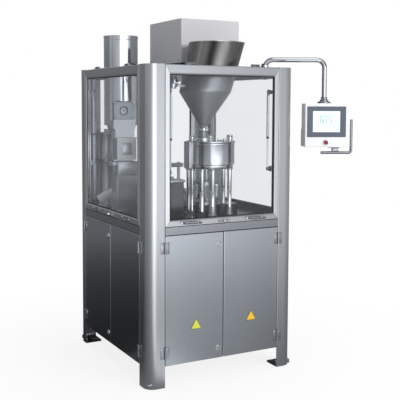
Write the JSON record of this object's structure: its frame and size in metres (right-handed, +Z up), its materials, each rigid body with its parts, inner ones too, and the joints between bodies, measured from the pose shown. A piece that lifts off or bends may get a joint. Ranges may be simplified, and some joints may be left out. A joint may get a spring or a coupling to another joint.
{
  "type": "capsule filler",
  "caption": "Cabinet machine that fills hard capsules: glazed working chamber on a table, powder and capsule hoppers on top, doors below, screen on a swinging arm.",
  "frame": {"origin": "floor level under the centre of the cabinet, at the centre of the four anchor holes", "axes": "+X right along the two front doors, +Y to the back, +Z up"},
  "size_m": [1.3226, 1.074, 1.947],
  "materials": {
    "brushed_stainless": "vertical brushed grain",
    "window_stainless": "brushed, mitred",
    "door_stainless": "fine brushed, mirror-like",
    "clear_pane": "clear acrylic",
    "polished_steel": "polished",
    "hopper_steel": "bright, dark reflections",
    "machined_steel": "machined",
    "dark_plate": "dark, satin",
    "black_steel": "black, satin",
    "box_paint": "light grey, satin",
    "cast_aluminium": "cast, fine",
    "motor_paint": "blue-grey enamel",
    "screen_paint": "white powder coat",
    "screen_bezel": "slate blue",
    "red_plastic": "gloss"
  },
  "bodies": {
    "cabinet": {"post_front_left": "brushed_stainless", "post_front_right": "brushed_stainless", "post_rear_left": "brushed_stainless", "post_rear_right": "brushed_stainless", "foot_plates": "black_steel", "base_frame": "brushed_stainless", "floor_pan": "brushed_stainless", "table_frame": "brushed_stainless", "table_plate": "dark_plate", "table_band": "window_stainless", "roof_frame": "brushed_stainless", "roof_plate": "brushed_stainless", "fixed_brackets": "polished_steel", "fixed_window_frames": "window_stainless", "fixed_window_panes": "clear_pane", "right_panel": "door_stainless", "rear_panel": "door_stainless", "control_box": "box_paint", "capsule_hoppers": "hopper_steel", "powder_hopper": "hopper_steel", "hopper_vibrator": "cast_aluminium", "hmi_arm_base": "polished_steel", "guide_columns": "polished_steel", "dosing_bowl": "hopper_steel", "station_housings": "dark_plate", "sorting_stand": "machined_steel", "discharge_chute": "polished_steel", "vacuum_canister": "hopper_steel", "gear_motor": "motor_paint", "shaft_bearings": "machined_steel"},
    "front_window": {"front_window_frame": "window_stainless", "front_window_pane": "clear_pane", "front_window_fittings": "polished_steel"},
    "front_struts": {"front_strut_tubes": "black_steel"},
    "front_strut_rod_pair": {"front_strut_rods": "polished_steel"},
    "left_window": {"left_window_frame": "window_stainless", "left_window_pane": "clear_pane", "left_window_fittings": "polished_steel"},
    "left_struts": {"left_strut_tubes": "black_steel"},
    "left_strut_rod_pair": {"left_strut_rods": "polished_steel"},
    "front_left_leaf": {"front_left_door": "door_stainless"},
    "front_right_leaf": {"front_right_door": "door_stainless"},
    "left_rear_leaf": {"left_rear_door": "door_stainless"},
    "left_front_leaf": {"left_front_door": "door_stainless"},
    "front_upper_cam": {"front_upper_lock": "black_steel"},
    "front_lower_cam": {"front_lower_lock": "black_steel"},
    "left_upper_cam": {"left_upper_lock": "black_steel"},
    "left_lower_cam": {"left_lower_lock": "black_steel"},
    "screen_arm": {"hmi_arm": "polished_steel"},
    "screen": {"hmi_housing": "screen_paint", "hmi_screen": "screen_bezel", "hmi_handle": "polished_steel"},
    "stop_button": {"estop_button": "red_plastic"},
    "disc": {"dosing_disc": "machined_steel"},
    "tamping": {"tamping_head": "machined_steel"},
    "auger": {"powder_auger": "hopper_steel"},
    "indexing_turret": {"turret": "machined_steel"},
    "magazine": {"capsule_magazine": "machined_steel"},
    "closing": {"closing_head": "machined_steel"},
    "cams": {"camshaft": "machined_steel"}
  },
  "joints": [
    {"name": "front_window_hinge", "type": "hinge", "parent": "cabinet", "child": "front_window", "pos_m": [0, -0.487, 1.671], "axis": [-1, 0, 0], "range_deg": [0, 70]},
    {"name": "front_strut_pivot", "type": "hinge", "parent": "cabinet", "child": "front_struts", "pos_m": [0, -0.462, 1.53], "axis": [-1, 0, 0], "range_deg": [0, 82.8]},
    {"name": "front_strut_stroke", "type": "slide", "parent": "front_struts", "child": "front_strut_rod_pair", "axis": [0, 0, -1], "range_m": [0, 0.1307]},
    {"name": "left_window_hinge", "type": "hinge", "parent": "cabinet", "child": "left_window", "pos_m": [-0.432, 0, 1.671], "axis": [0, 1, 0], "range_deg": [0, 70]},
    {"name": "left_strut_pivot", "type": "hinge", "parent": "cabinet", "child": "left_struts", "pos_m": [-0.407, 0, 1.53], "axis": [0, 1, 0], "range_deg": [0, 82.8]},
    {"name": "left_strut_stroke", "type": "slide", "parent": "left_struts", "child": "left_strut_rod_pair", "axis": [0, 0, -1], "range_m": [0, 0.1307]},
    {"name": "front_left_door_hinge", "type": "hinge", "parent": "cabinet", "child": "front_left_leaf", "pos_m": [-0.3455, -0.506, 0.45], "axis": [0, 0, -1], "range_deg": [0, 110]},
    {"name": "front_right_door_hinge", "type": "hinge", "parent": "cabinet", "child": "front_right_leaf", "pos_m": [0.3455, -0.506, 0.45], "axis": [0, 0, 1], "range_deg": [0, 110]},
    {"name": "left_rear_door_hinge", "type": "hinge", "parent": "cabinet", "child": "left_rear_leaf", "pos_m": [-0.451, 0.4005, 0.45], "axis": [0, 0, -1], "range_deg": [0, 110]},
    {"name": "left_front_door_hinge", "type": "hinge", "parent": "cabinet", "child": "left_front_leaf", "pos_m": [-0.451, -0.4005, 0.45], "axis": [0, 0, 1], "range_deg": [0, 110]},
    {"name": "front_upper_lock_turn", "type": "hinge", "parent": "front_left_leaf", "child": "front_upper_cam", "pos_m": [-0.03, -0.5, 0.722], "axis": [0, 1, 0], "range_deg": [0, 90]},
    {"name": "front_lower_lock_turn", "type": "hinge", "parent": "front_left_leaf", "child": "front_lower_cam", "pos_m": [-0.03, -0.5, 0.166], "axis": [0, 1, 0], "range_deg": [0, 90]},
    {"name": "left_upper_lock_turn", "type": "hinge", "parent": "left_rear_leaf", "child": "left_upper_cam", "pos_m": [-0.445, 0.03, 0.722], "axis": [1, 0, 0], "range_deg": [0, 90]},
    {"name": "left_lower_lock_turn", "type": "hinge", "parent": "left_rear_leaf", "child": "left_lower_cam", "pos_m": [-0.445, 0.03, 0.166], "axis": [1, 0, 0], "range_deg": [0, 90]},
    {"name": "screen_arm_swing", "type": "hinge", "parent": "cabinet", "child": "screen_arm", "pos_m": [0.396, -0.274, 1.665], "axis": [0, 0, 1], "range_deg": [-35, 80]},
    {"name": "screen_swivel", "type": "hinge", "parent": "screen_arm", "child": "screen", "pos_m": [0.69045, -0.444, 1.47], "axis": [0, 0, 1], "range_deg": [-75, 75]},
    {"name": "stop_button_press", "type": "slide", "parent": "screen", "child": "stop_button", "axis": [0.4067, 0.9135, 0], "range_m": [0, 0.004], "stiffness_N_per_m": 600},
    {"name": "camshaft_turn", "type": "hinge", "parent": "cabinet", "child": "cams", "pos_m": [0, 0.06, 0.56], "axis": [1, 0, 0], "continuous": true},
    {"name": "turret_index", "type": "hinge", "parent": "cabinet", "child": "indexing_turret", "pos_m": [-0.09, -0.01, 0.9], "axis": [0, 0, 1], "continuous": true},
    {"name": "dosing_disc_index", "type": "hinge", "parent": "cabinet", "child": "disc", "pos_m": [0.04, -0.228, 0.9], "axis": [0, 0, 1], "continuous": true},
    {"name": "auger_turn", "type": "hinge", "parent": "cabinet", "child": "auger", "pos_m": [0.003, -0.264, 1.4], "axis": [0, 0, 1], "continuous": true},
    {"name": "tamping_stroke", "type": "slide", "parent": "cabinet", "child": "tamping", "axis": [0, 0, 1], "range_m": [0, 0.03]},
    {"name": "magazine_stroke", "type": "slide", "parent": "cabinet", "child": "magazine", "axis": [0, 0, 1], "range_m": [0, 0.021]},
    {"name": "closing_stroke", "type": "slide", "parent": "cabinet", "child": "closing", "axis": [0, 0, 1], "range_m": [0, 0.025]}
  ],
  "couplings": [
    {"joint": "front_strut_pivot", "follows": "front_window_hinge", "ratio": 1.1751},
    {"joint": "front_strut_stroke", "follows": "front_window_hinge", "m_per_rad": 0.10536},
    {"joint": "left_strut_pivot", "follows": "left_window_hinge", "ratio": 1.1751},
    {"joint": "left_strut_stroke", "follows": "left_window_hinge", "m_per_rad": 0.10536},
    {"joint": "turret_index", "follows": "camshaft_turn", "ratio": 0.083333},
    {"joint": "dosing_disc_index", "follows": "camshaft_turn", "ratio": 0.16667},
    {"joint": "magazine_stroke", "follows": "tamping_stroke", "ratio": 0.66667},
    {"joint": "closing_stroke", "follows": "tamping_stroke", "ratio": 0.8}
  ]
}
